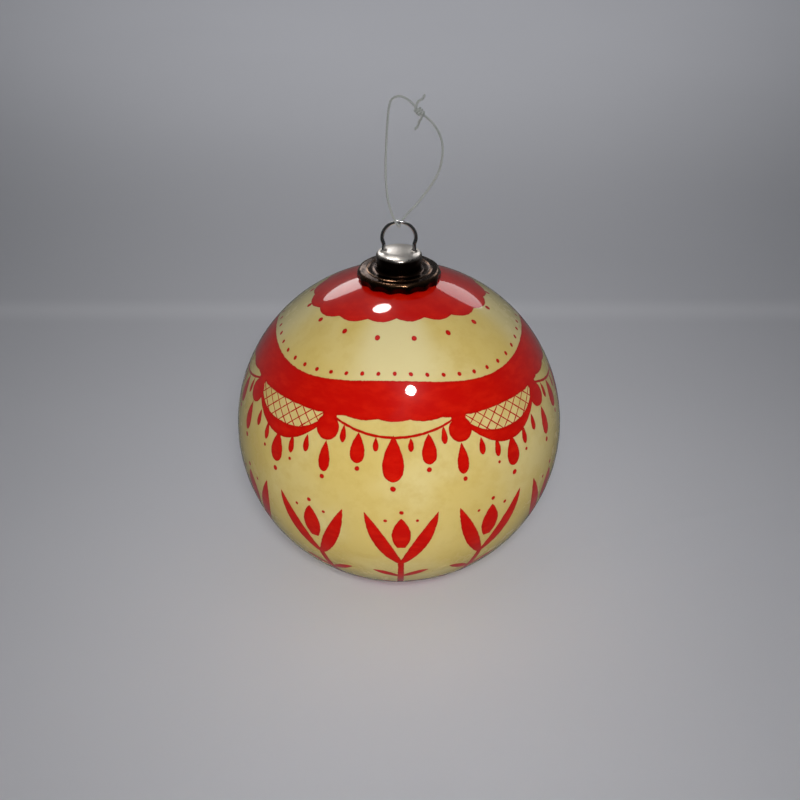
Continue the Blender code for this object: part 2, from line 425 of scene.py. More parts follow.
paintSet = {
    "lift": 6.0,  # the whole ornament sits this much higher than its own degrees say
    "upperMotifs": 4,
    "upperStart": -2.0,
    "lowerMotifs": 11,
    "lowerStart": 0.8,
    # the collar round the cap
    "collarEdge": 56.5,
    "collarWave": 3.0,
    "collarWaves": 2,
    "collarTurn": 5.0,
    "collarScallop": 1.5,
    "scallops": 16,
    "collarDots": 16,
    "collarDotHeight": 51.2,
    "collarDotRadius": 1.0,
    # the wide band
    "bandTop": 34.6,
    "bandWave": 1.6,  # its top dips over the full garlands
    "bandFoot": 22.4,
    "middleFoot": 23.2,  # over the thin garlands
    "middleEnd": 30.0,
    "middleSoft": 2.5,
    "ripples": 29,
    "rippleDepth": 0.7,
    "bandDots": 48,
    "bandDotHeight": 37.0,
    "bandDotRadius": 0.75,
    # the tassels, this far from a motif's middle
    "tassel": 24.8,
    "tasselHeight": 18.2,
    "tasselRadius": 4.2,
    "tasselSqueeze": 0.98,
    "tasselNeck": 2.7,
    "tasselNeckFoot": 18.0,
    "tasselNeckTop": 27.0,
    # the full garlands and the net over them
    "garlandStart": 26.5,
    "garlandHalf": 18.0,
    "garlandFoot": 12.2,
    "garlandRise": 8.0,
    "garlandCurve": 2.2,
    "garlandEndWidth": 1.1,
    "garlandWidth": 2.5,
    "netTop": 26.5,
    "netMesh": 2.3,
    "netLine": 0.30,
    "netLean": 1.1,
    # the thin garlands in between
    "thinHalf": 24.0,
    "thinFoot": 17.4,
    "thinRise": 5.2,
    "thinWidth": 0.45,
    # the tulips round the lower half; a leaf is its start, end, reach, bend and half width
    "tulipLeaf": (-35.0, -9.5, 12.4, 0.85, 2.8),
    "tulipBud": (-25.5, -11.5, 0.0, 1.0, 3.3),
    "tulipDots": [(0.0, -9.2, 0.75), (5.4, -12.6, 0.6)],
    "stemWidth": 1.0,
    "stemTop": -34.5,
    "stemFoot": -74.0,
    "stemLeaves": [  # a height, then as a leaf
        (-47.0, 0.2, 9.0, 6.0, 0.8, 1.9),
        (-60.0, 0.2, 7.5, 6.0, 0.8, 1.4),
    ],
    # the rosette underneath
    "bottomEdge": -72.0,
    "petals": 5,
    "petalDepth": 2.5,
    # hanging drops: middle, top, foot and half width
    "drops": [
        (24.4, 14.2, 3.0, 2.3),
        (45.0, 11.5, 0.2, 3.0),
        (38.4, 13.0, 5.6, 1.4),
        (32.2, 14.5, 8.0, 1.4),
        (0.0, 18.6, 2.2, 3.9),
        (6.2, 17.8, 12.6, 1.2),
        (12.6, 18.8, 8.0, 2.8),
        (18.4, 20.6, 14.2, 1.3),
    ],
    # dots under them: middle, height and radius
    "dots": [
        (0.0, -0.2, 1.0),
        (12.3, 6.2, 0.85),
        (24.8, 1.2, 0.85),
        (45.0, -2.4, 0.9),
        (38.4, 3.6, 0.6),
    ],
}


def shapeGroup(name, inputs, formula):  # tells how far inside a painted shape a place is
    group = bpy.data.node_groups.new(name, "ShaderNodeTree")
    for title in inputs:
        group.interface.new_socket(title, in_out="INPUT", socket_type="NodeSocketFloat")
    group.interface.new_socket("inside", in_out="OUTPUT", socket_type="NodeSocketFloat")
    entry, way = group.nodes.new("NodeGroupInput"), group.nodes.new("NodeGroupOutput")
    field = formula(mathsIn(group), *entry.outputs[: len(inputs)])
    group.links.new(field, way.inputs[0])
    return group


def dropFormula(m, across, height, top, foot, half):  # pointed above, round below
    fullness, margin = 2.6, 0.2
    t = m("DIVIDE", m("SUBTRACT", top, height), m("SUBTRACT", top, foot), clamp=True)
    opening = m("MULTIPLY", m("MULTIPLY", t, fullness), m("SQRT", m("SUBTRACT", 1.0, t)))
    return m("SUBTRACT", m("SUBTRACT", m("MULTIPLY", half, opening), across), margin)


def dotFormula(m, across, height, level, radius):
    return m("SUBTRACT", radius, hypotenuse(m, across, m("SUBTRACT", height, level)))


# A stroke of the brush that opens, leans out and closes
def leafFormula(m, across, along, start, end, reach, bend, half):
    startOpen, fullness, endRound, margin = 0.1, 0.75, 60.0, 0.15
    t = m("DIVIDE", m("SUBTRACT", along, start), m("SUBTRACT", end, start), clamp=True)
    middle = m("MULTIPLY", reach, m("POWER", t, bend))
    way = m("ADD", m("MULTIPLY", t, 1 - startOpen), startOpen)
    opening = m("POWER", m("SINE", m("MULTIPLY", way, math.pi)), fullness)
    within = m("SUBTRACT", m("MULTIPLY", half, opening), m("ABSOLUTE", m("SUBTRACT", across, middle)))
    lengthwise = m("MULTIPLY", m("MULTIPLY", t, m("SUBTRACT", 1.0, t)), endRound)
    return m("SUBTRACT", m("MINIMUM", within, lengthwise), margin)


def makeShapes():  # the brush has three
    leafInputs = ["across", "along", "start", "end", "reach", "bend", "half"]
    return {
        "drop": shapeGroup("painted drop", ["across", "height", "top", "foot", "half"], dropFormula),
        "dot": shapeGroup("painted dot", ["across", "height", "level", "radius"], dotFormula),
        "leaf": shapeGroup("painted leaf", leafInputs, leafFormula),
    }


def joined(m, operation, fields):  # MINIMUM keeps what lies in all of them, MAXIMUM what lies in any
    field = fields[0]
    for other in fields[1:]:
        field = m(operation, field, other)
    return field


def makeBrush(tree, lon, lat):  # what every part of the ornament is drawn with
    s, m, shapes = paintSet, mathsIn(tree), makeShapes()
    slim = m("COSINE", m("RADIANS", lat))

    def placed(kind, *values):
        made = tree.nodes.new("ShaderNodeGroup")
        made.node_tree = shapes[kind]
        for socket, value in zip(made.inputs, values):
            feed(tree, socket, value)
        return made.outputs[0]

    def folded(count, start):  # degrees from the middle of the nearest of so many repeats
        half = 180 / count
        return m("ABSOLUTE", m("WRAP", m("SUBTRACT", lon, start), half, -half))

    def off(place, middle):  # sideways distance from a line down the ball
        return m("MULTIPLY", m("ABSOLUTE", m("SUBTRACT", place, middle)), slim)

    def wave(place, count):  # so many times round the ball
        return m("COSINE", m("MULTIPLY", place, math.radians(count)))

    def hung(kind, place, rows):  # a row starts with the shape's middle
        return [placed(kind, off(place, middle), lat, *shape) for middle, *shape in rows]

    return SimpleNamespace(
        tree=tree, m=m, lon=lon, lat=lat, slim=slim,
        placed=placed, folded=folded, off=off, wave=wave, hung=hung,
        upper=folded(s["upperMotifs"], s["upperStart"]),
        lower=folded(s["lowerMotifs"], s["lowerStart"]),
    )


# The parts of the ornament follow, each drawn with the brush b

def collarShapes(b):
    s, m = paintSet, b.m
    scallop = m("ABSOLUTE", m("SINE", m("MULTIPLY", b.upper, math.radians(s["scallops"] / 2))))
    sway = b.wave(m("SUBTRACT", b.lon, s["collarTurn"]), s["collarWaves"])
    edge = m("ADD", m("MULTIPLY", sway, s["collarWave"]), s["collarEdge"])
    edge = m("SUBTRACT", edge, m("MULTIPLY", scallop, s["collarScallop"]))
    between = b.off(b.folded(s["collarDots"], s["upperStart"] + 180 / s["collarDots"]), 0)
    dots = b.placed("dot", between, b.lat, s["collarDotHeight"], s["collarDotRadius"])
    return [m("SUBTRACT", b.lat, edge), dots]


def bandShapes(b):
    s, m = paintSet, b.m
    level = m("SUBTRACT", b.lat, m("MULTIPLY", b.wave(b.upper, s["upperMotifs"]), s["bandWave"]))
    middle = ramped(b.tree, b.upper, s["middleEnd"] - s["middleSoft"], s["middleEnd"], "LINEAR", (1, 0))
    foot = m("ADD", m("MULTIPLY", middle, s["middleFoot"] - s["bandFoot"]), s["bandFoot"])
    ripple = m("ABSOLUTE", b.wave(b.upper, s["ripples"] / 2))
    foot = m("SUBTRACT", foot, m("MULTIPLY", ripple, m("MULTIPLY", middle, s["rippleDepth"])))
    band = m("MINIMUM", m("SUBTRACT", s["bandTop"], level), m("SUBTRACT", b.lat, foot))
    beside = b.off(b.folded(s["bandDots"], s["upperStart"]), 0)
    return [band, b.placed("dot", beside, level, s["bandDotHeight"], s["bandDotRadius"])]


def tasselShapes(b):
    s, m = paintSet, b.m
    beside = b.off(b.upper, s["tassel"])
    squeezed = m("MULTIPLY", beside, s["tasselSqueeze"])
    bulb = b.placed("dot", squeezed, b.lat, s["tasselHeight"], s["tasselRadius"])
    neck = [
        m("SUBTRACT", s["tasselNeck"], beside),
        m("SUBTRACT", b.lat, s["tasselNeckFoot"]),
        m("SUBTRACT", s["tasselNeckTop"], b.lat),
    ]
    return [bulb, joined(m, "MINIMUM", neck)]


def garlandShapes(b):  # the full garlands, with a net between them and the band
    s, m = paintSet, b.m
    inwards = m("SUBTRACT", 180 / s["upperMotifs"], b.upper)
    v = m("ABSOLUTE", m("DIVIDE", inwards, s["garlandHalf"]))
    sag = m("ADD", m("MULTIPLY", m("POWER", v, s["garlandCurve"]), s["garlandRise"]), s["garlandFoot"])
    width = ramped(b.tree, v, 1.0, 0.0, "SMOOTHSTEP", (s["garlandEndWidth"], s["garlandWidth"]))
    outwards = m("MULTIPLY", m("SUBTRACT", b.upper, s["garlandStart"]), b.slim)
    garland = m("SUBTRACT", width, m("ABSOLUTE", m("SUBTRACT", b.lat, sag)))
    shapes = [m("MINIMUM", garland, outwards)]
    sideways = m("MULTIPLY", inwards, b.slim)
    for lean in (s["netLean"], -s["netLean"]):
        slanted = m("ADD", sideways, m("MULTIPLY", m("SUBTRACT", b.lat, s["garlandFoot"]), lean))
        threads = m("ABSOLUTE", m("WRAP", slanted, s["netMesh"], -s["netMesh"]))
        room = [m("SUBTRACT", b.lat, sag), m("SUBTRACT", s["netTop"], b.lat), outwards]
        shapes.append(joined(m, "MINIMUM", [m("SUBTRACT", s["netLine"], threads), *room]))
    return shapes


def thinGarlandShapes(b):
    s, m = paintSet, b.m
    v = m("DIVIDE", b.upper, s["thinHalf"])
    sag = m("ADD", m("MULTIPLY", m("MULTIPLY", v, v), s["thinRise"]), s["thinFoot"])
    line = m("SUBTRACT", s["thinWidth"], m("ABSOLUTE", m("SUBTRACT", b.lat, sag)))
    return [m("MINIMUM", line, m("SUBTRACT", s["thinHalf"], b.upper))]


def dropShapes(b):
    return b.hung("drop", b.upper, paintSet["drops"]) + b.hung("dot", b.upper, paintSet["dots"])


def tulipShapes(b):
    s, m = paintSet, b.m
    x = m("MULTIPLY", b.lower, b.slim)
    shapes = [b.placed("leaf", x, b.lat, *s["tulipLeaf"]), b.placed("leaf", x, b.lat, *s["tulipBud"])]
    shapes += b.hung("dot", b.lower, s["tulipDots"])
    stem = [
        m("SUBTRACT", s["stemWidth"], x),
        m("SUBTRACT", s["stemTop"], b.lat),
        m("SUBTRACT", b.lat, s["stemFoot"]),
    ]
    shapes.append(joined(m, "MINIMUM", stem))
    for height, *shape in s["stemLeaves"]:
        shapes.append(b.placed("leaf", m("SUBTRACT", b.lat, height), x, *shape))
    return shapes


def rosetteShapes(b):
    s, m = paintSet, b.m
    petal = m("MULTIPLY", m("ABSOLUTE", b.wave(b.lower, s["petals"])), s["petalDepth"])
    return [m("SUBTRACT", m("SUBTRACT", s["bottomEdge"], petal), b.lat)]


def ornament(tree, lon, lat):  # degrees inside the paint, below zero on the bare lacquer
    b = makeBrush(tree, lon, lat)
    parts = [collarShapes, bandShapes, tasselShapes, garlandShapes, thinGarlandShapes, dropShapes]
    parts += [tulipShapes, rosetteShapes]
    return joined(b.m, "MAXIMUM", [field for part in parts for field in part(b)])


# Lacquer and silvering

lacquerSet = {
    "cream": (0.690, 0.535, 0.170),
    "creamDeep": (0.600, 0.430, 0.110),
    "creamPale": (0.740, 0.620, 0.270),
    "creamSheen": (0.770, 0.680, 0.360),  # paler above the band over each thin garland, a painted sheen
    "sheenFrom": 31.0,  # degrees
    "sheenFull": 37.0,
    "sheenShare": 0.8,
    "cloudScale": 45,
    "blotchScale": 260,
    "blotchShare": 0.45,
    "red": (0.570, 0.0035, 0.0008),
    "redThin": (0.680, 0.013, 0.003),
    "redDeep": (0.400, 0.002, 0.001),
    "streakScale": 210,
    "streakShare": 0.75,
    "rimWidth": 0.9,  # degrees
    "rimShare": 0.55,
    "edgeWander": 0.5,
    "wanderScale": 900,
    "softEdge": 0.13,
    "roughness": (0.22, 0.32),
    "paintRougher": 0.06,
    "paintHeight": 0.05 * mm,
    "streakHeight": 0.15,  # as a share of the paint's
    "peelScale": 620,
    "peelHeight": 0.02 * mm,
}


def roundTheBall(tree, place):  # longitude from the front and latitude, in degrees
    m = mathsIn(tree)
    unit = tree.nodes.new("ShaderNodeVectorMath")
    unit.operation = "NORMALIZE"
    tree.links.new(place, unit.inputs[0])
    x, y, z = split(tree, unit.outputs[0])
    lat = m("SUBTRACT", m("DEGREES", m("ARCSINE", z)), paintSet["lift"])
    return m("DEGREES", m("ARCTAN2", x, m("MULTIPLY", y, -1.0))), lat


def creamColour(tree, place, lon, lat, blotch):  # cloudy, with deeper places, and a painted sheen above the band
    s, m = lacquerSet, mathsIn(tree)
    cloud = ramped(tree, noisy(tree, place, s["cloudScale"], 3.0), 0.35, 0.7)
    cream = mixed(tree, cloud, s["cream"], s["creamPale"])
    cream = mixed(tree, m("MULTIPLY", blotch, s["blotchShare"]), cream, s["creamDeep"])
    # a painted sheen: paler cream above the band, strongest over each thin garland
    turn = m("MULTIPLY", m("SUBTRACT", lon, paintSet["upperStart"]), paintSet["upperMotifs"])
    around = m("COSINE", m("RADIANS", turn))
    around = ramped(tree, around, -0.5, 0.8, "SMOOTHSTEP", (0.0, s["sheenShare"]))
    upper = m("MULTIPLY", ramped(tree, lat, s["sheenFrom"], s["sheenFull"]), around)
    return mixed(tree, upper, cream, s["creamSheen"])


def redColour(tree, field, streak):  # thin where the brush ran on, deeper at the rim
    s, m = lacquerSet, mathsIn(tree)
    rim = ramped(tree, field, 0.1, s["rimWidth"], "SMOOTHSTEP", (1, 0))
    red = mixed(tree, m("MULTIPLY", streak, s["streakShare"]), s["red"], s["redThin"])
    return mixed(tree, m("MULTIPLY", rim, s["rimShare"]), red, s["redDeep"])


def lacquerMaterial():
    s = lacquerSet
    gloss = {"Coat_Weight": 0.9, "Coat_Roughness": 0.04, "Coat_IOR": 1.5, "Specular_IOR_Level": 0.05}
    material, tree, shader, place = newMaterial("painted lacquer", **gloss)
    m = mathsIn(tree)
    lon, lat = roundTheBall(tree, place)
    wander = m("SUBTRACT", noisy(tree, place, s["wanderScale"], 2.0), 0.5)
    field = m("ADD", ornament(tree, lon, lat), m("MULTIPLY", wander, s["edgeWander"]))
    painted = ramped(tree, field, -s["softEdge"], s["softEdge"])
    blotch = ramped(tree, noisy(tree, place, s["blotchScale"], 4.0, 0.6), 0.42, 0.72)
    streak = ramped(tree, noisy(tree, place, s["streakScale"], 4.0, 0.62, (1.0, 1.0, 2.6)), 0.38, 0.72)
    cream = creamColour(tree, place, lon, lat, blotch)
    feed(tree, shader.inputs["Base Color"], mixed(tree, painted, cream, redColour(tree, field, streak)))

    rough = ramped(tree, blotch, 0.0, 1.0, "LINEAR", s["roughness"])
    feed(tree, shader.inputs["Roughness"], m("ADD", m("MULTIPLY", painted, s["paintRougher"]), rough))
    strokes = m("MULTIPLY", m("MULTIPLY", streak, painted), s["streakHeight"])
    body = m("ADD", ramped(tree, field, -0.15, 0.45), strokes)
    relief = raised(tree, body, s["paintHeight"], 0.5)
    peel = raised(tree, noisy(tree, place, s["peelScale"], 2.0), s["peelHeight"], 0.25, relief)
    feed(tree, shader.inputs["Normal"], peel)
    return material


silverSet = {"dull": (0.52, 0.51, 0.49), "bright": (0.74, 0.73, 0.71), "fogScale": 90}


def silveringMaterial():  # the mirror coat inside the glass
    s = silverSet
    material, tree, shader, place = newMaterial("silvered inside", Metallic=1.0)
    fog = noisy(tree, place, s["fogScale"], 3.0)
    feed(tree, shader.inputs["Base Color"], mixed(tree, fog, s["dull"], s["bright"]))
    feed(tree, shader.inputs["Roughness"], ramped(tree, fog, 0.3, 0.7, "LINEAR", (0.18, 0.4)))
    return material


# Ball

def ballHeight(radius):  # how high the glass is above the ball's middle, away from its axis
    return math.sqrt(ballSet["radius"] ** 2 - radius**2)


def ballOutline():  # (r, z) up the inside, over the lip and down the outside
    s = ballSet
    bend, lip = s["neckRound"], s["wall"] / 2
    inner, bore = s["radius"] - s["wall"], s["neckRadius"] - s["wall"]
    throat = math.sqrt(inner**2 - (bore + bend) ** 2)
    path = arcPoints((0, 0), inner, -90, math.degrees(math.asin(throat / inner)), s["innerRings"])
    path += arcPoints((bore + bend, throat + bend), bend, 270, 180, 4)[1:]
    silvered = len(path)
    neckTop = ballHeight(s["neckRadius"]) + s["neckRise"]
    path += arcPoints((bore + lip, neckTop - lip), lip, 180, 0, 8)
    shoulder = ballHeight(s["neckRadius"] + bend)
    path += arcPoints((s["neckRadius"] + bend, shoulder + bend), bend, 180, 270, 5)
    neck = len(path)
    outsideTurn = math.degrees(math.asin(shoulder / s["radius"]))
    path += arcPoints((0, 0), s["radius"], outsideTurn, -90, s["outerRings"])[1:]
    path[0], path[-1] = (0, path[0][1]), (0, path[-1][1])
    return path, silvered, neck


def makeBall():
    profile, silvered, neck = ballOutline()
    verts, faces, bands = turned(profile, ballSet["segments"])
    coats = [lacquerMaterial(), silveringMaterial()]
    ball = addPiece("lacquered_ball", [(verts, faces)], coats, ballMiddle)
    for polygon, band in zip(ball.data.polygons, bands):
        polygon.material_index = 1 if band < silvered - 1 else 0
    bakeLayout(ball.data, bands, len(profile), neck)
    setIn(ball, "lacquered_glass", "glass_ball")
    print("ball turned:", len(ball.data.polygons), "faces")


# The outside unrolled over most of the baked picture, the inside and the neck in a strip at its foot
def bakeLayout(mesh, bands, rings, neck):
    share, segments = ballSet["bakeShareInside"], ballSet["segments"]
    heights = [share * j / neck for j in range(neck)]
    heights += [share + (1 - share) * (j - neck + 1) / (rings - neck) for j in range(neck, rings)]
    fourSided = (rings - 3) * segments
    values = np.zeros((len(mesh.loops), 2))
    for polygon, band in zip(mesh.polygons, bands):
        column = polygon.index % segments
        corners = [(0, band + 1), (1, band + 1), (1, band + 2), (0, band + 2)]
        if polygon.index >= fourSided:
            column = (polygon.index - fourSided) // 2
            corners = [(1, 1), (0, 1), (0.5, 0)] if band < 0 else [*corners[:2], (0.5, band + 2)]
        for loop, (step, ring) in zip(polygon.loop_indices, corners):
            values[loop] = ((column + step) / segments, heights[ring])
    layout = mesh.uv_layers.new(name="OFBake")
    layout.data.foreach_set("uv", values.ravel())


makeBall()


# Cap

capSet = {
    "radius": 10 * mm,
    "wall": 0.5 * mm,
    "round": 0.6 * mm,
    "turretRadius": 5.5 * mm,
    "turretRise": 3.2 * mm,
    "domeAngle": 20,  # degrees
    "flutes": 14,
    "fluteDepth": 0.5 * mm,
    "footWave": 0.16 * mm,  # the flutes' foot is scalloped
    "beadPlace": 7.55 * mm,
    "beadWidth": 0.55 * mm,
    "beadRise": 0.16 * mm,
    "segmentsPerFlute": 14,
    "clearance": 0.3 * mm,
    "holeRadius": 0.75 * mm,
    "holeSides": 36,
    "punchHeight": 1.5 * mm,  # of the punch's middle over the turret's shoulder
    "burrReach": 0.10 * mm,  # beyond the hole
    "burrRadius": 0.13 * mm,
    "burrSides": 8,
    "sharpEdges": 50,  # degrees
    "dark": (0.020, 0.009, 0.006),
    "bronze": (0.050, 0.024, 0.014),
    "worn": (0.200, 0.110, 0.060),
    "wornReach": 0.8 * mm,
    "beadWornReach": 0.4 * mm,
    "crown": (0.780, 0.740, 0.700),  # the top is painted pale silver, a painted highlight for the cap's bright top
    "crownWander": 0.3 * mm,
    "crownDull": 0.36,
    "patinaScale": 300,
    "spotScale": 1500,
    "drawnScale": 500,
    "grain": 0.03 * mm,
}


def capHeights():  # heights from the ball's middle, and the rounds that belong to them
    s = capSet
    outerRound = s["round"] + s["wall"]
    underside = ballHeight(ballSet["neckRadius"]) + ballSet["neckRise"] + s["clearance"]
    shelf = underside + s["wall"]
    shoulder = shelf + s["turretRise"]
    slope = math.radians(s["domeAngle"])
    edge = s["turretRadius"] - outerRound + outerRound * math.sin(slope)
    domeRadius = edge / math.sin(slope)
    domeMiddle = shoulder + (outerRound - domeRadius) * math.cos(slope)
    return SimpleNamespace(
        outerRound=outerRound, underside=underside, shelf=shelf, shoulder=shoulder,
        domeRadius=domeRadius, domeMiddle=domeMiddle,
    )


def bead():  # a rolled ridge round the shelf
    s, shelf = capSet, capHeights().shelf
    points = []
    for t in np.linspace(-1, 1, 11):
        rise = s["beadRise"] * (0.5 + 0.5 * math.cos(math.pi * t))
        points.append((s["beadPlace"] + s["beadWidth"] * t, shelf + rise))
    return points


def capOutline():  # from the middle of the top to the skirt's foot
    s, c = capSet, capHeights()
    bend, lean, turret = s["round"], s["domeAngle"], s["turretRadius"]
    path = arcPoints((0, c.domeMiddle), c.domeRadius, 90, 90 - lean, 12)[:-1]
    path += arcPoints((turret - c.outerRound, c.shoulder), c.outerRound, 90 - lean, 0, 8)
    path += [(turret, c.shelf + bend + (c.shoulder - c.shelf - bend) * t) for t in (0.66, 0.33)]
    path += arcPoints((turret + bend, c.shelf + bend), bend, 180, 270, 6)
    path += bead()
    path += arcPoints((s["radius"] - c.outerRound, c.shelf - c.outerRound), c.outerRound, 90, 0, 8)
    top = path[-1][1]
    foot = ballHeight(s["radius"] - s["fluteDepth"] - s["wall"]) + s["clearance"] + s["wall"] / 2
    return path + [(s["radius"], top + (foot - top) * t) for t in (0.34, 0.67, 1.0)]


def movedInwards(path, distance):  # square to the outline
    given = np.array(path)
    along = np.gradient(given, axis=0)
    along /= np.linalg.norm(along, axis=1)[:, None]
    across = np.stack([along[:, 1], -along[:, 0]], 1)
    across[0] = (0, -1)
    return [tuple(p) for p in given + across * distance]


def wornEdges():  # radius, height and reach of the rings that handling has rubbed bright
    s, c = capSet, capHeights()
    edge = c.outerRound * math.sqrt(0.5)
    return [
        (s["turretRadius"] - c.outerRound + edge, c.shoulder + edge, s["wornReach"]),
        (s["radius"] - c.outerRound + edge, c.shelf - c.outerRound + edge, s["wornReach"]),
        (s["beadPlace"], c.shelf + s["beadRise"], s["beadWornReach"]),
    ]


def rubbed(tree, x, y, z):  # one on a worn edge, nothing beyond its reach
    m = mathsIn(tree)
    radius, rings = hypotenuse(m, x, y), []
    for edgeRadius, edgeHeight, reach in wornEdges():
        away = hypotenuse(m, m("SUBTRACT", radius, edgeRadius), m("SUBTRACT", z, edgeHeight))
        rings.append(ramped(tree, away, 0.0, reach, "SMOOTHSTEP", (1.0, 0.0)))
    return joined(m, "MAXIMUM", rings)


def bronzeMaterial():
    s, c = capSet, capHeights()
    material, tree, shader, place = newMaterial("dark bronze", Metallic=1.0)
    m = mathsIn(tree)
    x, y, z = split(tree, place)

    def evenly(value, start, end):
        return ramped(tree, value, 0.0, 1.0, "LINEAR", (start, end))

    patina = ramped(tree, noisy(tree, place, s["patinaScale"], 5.0, 0.65), 0.36, 0.68)
    spots = ramped(tree, noisy(tree, place, s["spotScale"], 3.0), 0.55, 0.75)
    edge = m("MULTIPLY", rubbed(tree, x, y, z), evenly(patina, 1.0, 0.2))
    # the crown mask is the pale top of the turret, a painted highlight, with a wandering edge
    level = m("SUBTRACT", z, m("MULTIPLY", patina, s["crownWander"]))
    crown = ramped(tree, level, c.shoulder, c.shoulder + c.outerRound)
    colour = mixed(tree, patina, s["bronze"], s["dark"])
    colour = mixed(tree, m("MULTIPLY", edge, 0.8), colour, s["worn"])
    colour = mixed(tree, m("MULTIPLY", crown, evenly(patina, 0.97, 0.86)), colour, s["crown"])
    colour = mixed(tree, m("MULTIPLY", spots, evenly(crown, 0.5, 0.12)), colour, s["dark"])
    feed(tree, shader.inputs["Base Color"], colour)

    rough = m("ADD", evenly(patina, 0.14, 0.30), m("MULTIPLY", spots, 0.15))
    rough = m("MAXIMUM", rough, m("MULTIPLY", crown, s["crownDull"]))
    feed(tree, shader.inputs["Roughness"], rough)
    drawn = noisy(tree, place, s["drawnScale"], 3.0, 0.6, (1.0, 1.0, 6.0))
    relief = m("ADD", drawn, m("MULTIPLY", spots, 0.6))
    feed(tree, shader.inputs["Normal"], raised(tree, relief, s["grain"], 0.35))
    return material


def legPlace():  # how far from the axis a wire leg goes through the cap
    s = capSet
    return s["turretRadius"] - s["round"] - s["wall"] - s["holeRadius"]


def burr(side):  # the lip that the punch leaves round a leg's hole
    s, c = capSet, capHeights()
    lean = math.asin(legPlace() / c.domeRadius)
    around, across = s["holeSides"], s["burrSides"]
    verts, faces = [], []
    for i in range(around):
        a = math.tau * i / around
        for k in range(across):
            b = math.tau * k / across
            out = s["holeRadius"] + s["burrReach"] + s["burrRadius"] * math.cos(b)
            x, y, z = out * math.cos(a), out * math.sin(a), s["burrRadius"] * math.sin(b)
            x, z = x * math.cos(lean) + z * math.sin(lean), z * math.cos(lean) - x * math.sin(lean)
            verts.append((side * (legPlace() + x), y, c.domeMiddle + c.domeRadius * math.cos(lean) + z))
            corners = [(i, k), (i + 1, k), (i + 1, k + 1), (i, k + 1)]
            face = [(p % around) * across + q % across for p, q in corners]
            faces.append(tuple(face if side > 0 else face[::-1]))
    return verts, faces


def fluted(verts, foot):  # the skirt drawn in between the flutes' crests
    s, shelf = capSet, capHeights().shelf
    pressed = []
    for x, y, z in verts:
        radius = math.hypot(x, y)
        depth = min(1.0, (shelf - z) / (shelf - foot))
        if radius > s["turretRadius"] and depth > 0:
            wave = 0.5 - 0.5 * math.cos(s["flutes"] * math.atan2(y, x))
            shrink = 1 - s["fluteDepth"] * wave * depth / radius
            x, y, z = x * shrink, y * shrink, z - s["footWave"] * (0.5 - wave) * depth**2
        pressed.append((x, y, z))
    return pressed


def punchHole(cap, side):
    s = capSet
    radius = s["holeRadius"]
    bm = bmesh.new()
    size = {"segments": s["holeSides"], "radius1": radius, "radius2": radius, "depth": s["turretRise"]}
    bmesh.ops.create_cone(bm, cap_ends=True, **size)
    mesh = bpy.data.meshes.new("punch")
    bm.to_mesh(mesh)
    bm.free()
    punch = bpy.data.objects.new("punch", mesh)
    bpy.context.collection.objects.link(punch)
    height = capHeights().shoulder + s["punchHeight"]
    punch.location = ballMiddle + Vector((side * legPlace(), 0, height))
    cut = cap.modifiers.new("leg hole", "BOOLEAN")
    cut.operation = "DIFFERENCE"
    cut.object = punch
    evaluated = cap.evaluated_get(bpy.context.evaluated_depsgraph_get())
    cutMesh = bpy.data.meshes.new_from_object(evaluated)
    cap.modifiers.clear()
    cap.data = cutMesh
    bpy.data.objects.remove(punch)


def addBurrs(cap):
    lips = addPiece("eyelets", [burr(-1), burr(1)], [cap.data.materials[0]], ballMiddle)
    both = bmesh.new()
    both.from_mesh(cap.data)
    both.from_mesh(lips.data)
    both.to_mesh(cap.data)
    both.free()
    bpy.data.objects.remove(lips)


def makeCap():
    s = capSet
    outside = capOutline()
    foot = outside[-1][1]
    inside = movedInwards(outside, s["wall"])
    inside[-1] = (s["radius"] - s["wall"], foot)
    rim = arcPoints((s["radius"] - s["wall"] / 2, foot), s["wall"] / 2, 0, -180, 8)[1:-1]
    verts, faces, bands = turned([*outside, *rim, *inside[::-1]], s["flutes"] * s["segmentsPerFlute"])
    pressed, sharp = (fluted(verts, foot), faces), s["sharpEdges"]
    cap = addPiece("crown_cap", [pressed], [bronzeMaterial()], ballMiddle, sharp)
    for side in (-1, 1):
        punchHole(cap, side)
    addBurrs(cap)
    setIn(cap, "dark_bronze", "cap")
    print("cap pressed:", len(cap.data.polygons), "faces")


makeCap()


# Wire hanger

wireSet = {
    "diameter": 0.9 * mm,
    "loopRadius": 4.0 * mm,
    "loopStand": 2.8 * mm,
    "loopEndAngle": -25,  # degrees
    "legDepth": 11 * mm,
    "legFlare": 2 * mm,
    "sides": 20,
    "step": 0.28 * mm,
    "steel": (0.66, 0.66, 0.67),
    "steelShade": (0.42, 0.42, 0.44),
    "drawnScale": 1600,
    "drawnDepth": 0.01 * mm,
    "tarnishScale": 190,
}


def hangerHalf():  # (x, z) from the loop's top down to a leg's end
    s, c = wireSet, capHeights()
    top = c.domeMiddle + c.domeRadius
    neckTop = c.underside - capSet["clearance"]
    bore = ballSet["neckRadius"] - ballSet["wall"] - capSet["clearance"] - s["diameter"] / 2
    loop = arcPoints((0, top + s["loopStand"]), s["loopRadius"], 90, s["loopEndAngle"], 6)
    return loop + [
        (legPlace(), top),
        (legPlace(), c.shoulder),
        ((legPlace() + bore) / 2, c.underside),
        (bore, neckTop - s["legDepth"] / 3),
        (bore + s["legFlare"], neckTop - s["legDepth"]),
    ]


def wireMaterial():
    s = wireSet
    material, tree, shader, place = newMaterial("drawn steel wire", Metallic=1.0)
    drawn = noisy(tree, place, s["drawnScale"], 3.0, 0.6)
    tarnish = ramped(tree, noisy(tree, place, s["tarnishScale"], 4.0), 0.4, 0.7)
    feed(tree, shader.inputs["Base Color"], mixed(tree, tarnish, s["steel"], s["steelShade"]))
    feed(tree, shader.inputs["Roughness"], ramped(tree, drawn, 0.3, 0.7, "LINEAR", (0.12, 0.26)))
    feed(tree, shader.inputs["Normal"], raised(tree, drawn, s["drawnDepth"], 0.3))
    return material


